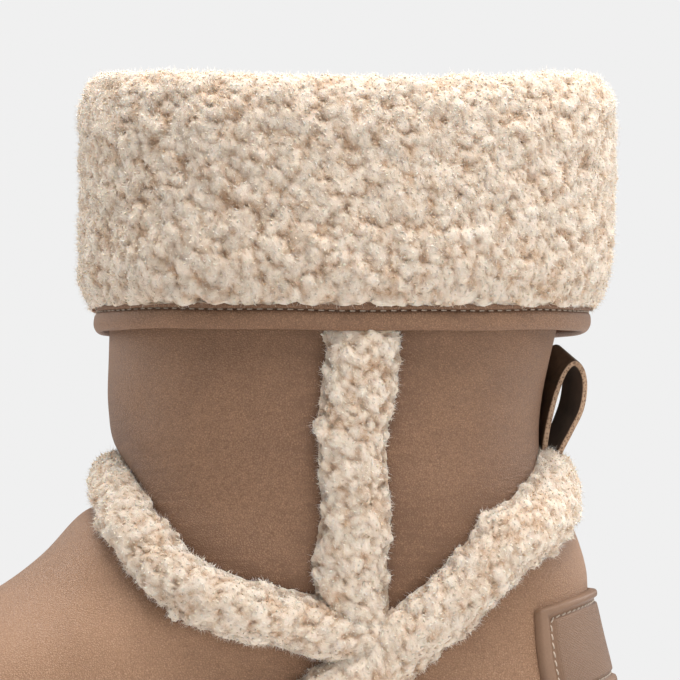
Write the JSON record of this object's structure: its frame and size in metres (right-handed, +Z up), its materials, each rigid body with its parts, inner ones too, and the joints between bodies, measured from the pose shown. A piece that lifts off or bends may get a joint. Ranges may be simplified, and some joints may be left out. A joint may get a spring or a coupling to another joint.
{
  "type": "sheepskin boot",
  "caption": "Left sheepskin ankle boot with a turned-down fleece cuff, fleece bands crossed over the ankle, a pull loop, a moulded heel patch and a lugged rubber sole.",
  "frame": {"origin": "on the floor, in the middle of the heel's flat rest face", "axes": "+X from the heel to the toe, +Y to the outer side of the foot, +Z up"},
  "size_m": [0.2791, 0.1265, 0.2374],
  "materials": {
    "brown_leather": "matte nappa sheepskin with a fine soft grain",
    "cream_fleece": "tight curly sheepskin wool",
    "lining_fleece": "flattened sheepskin wool",
    "sole_rubber": "matte moulded rubber",
    "patch_rubber": "satin moulded rubber with a raised border",
    "loop_leather": "dark polished leather with raw tan edges"
  },
  "bodies": {
    "root": {"sole": "sole_rubber", "insole": "lining_fleece", "upper": "brown_leather", "rear_band": "cream_fleece", "front_band": "cream_fleece", "outer_side_strip": "cream_fleece", "inner_side_strip": "cream_fleece", "cuff": "cream_fleece", "cuff_binding": "brown_leather", "pull_loop": "loop_leather", "heel_patch": "patch_rubber"}
  },
  "joints": []
}
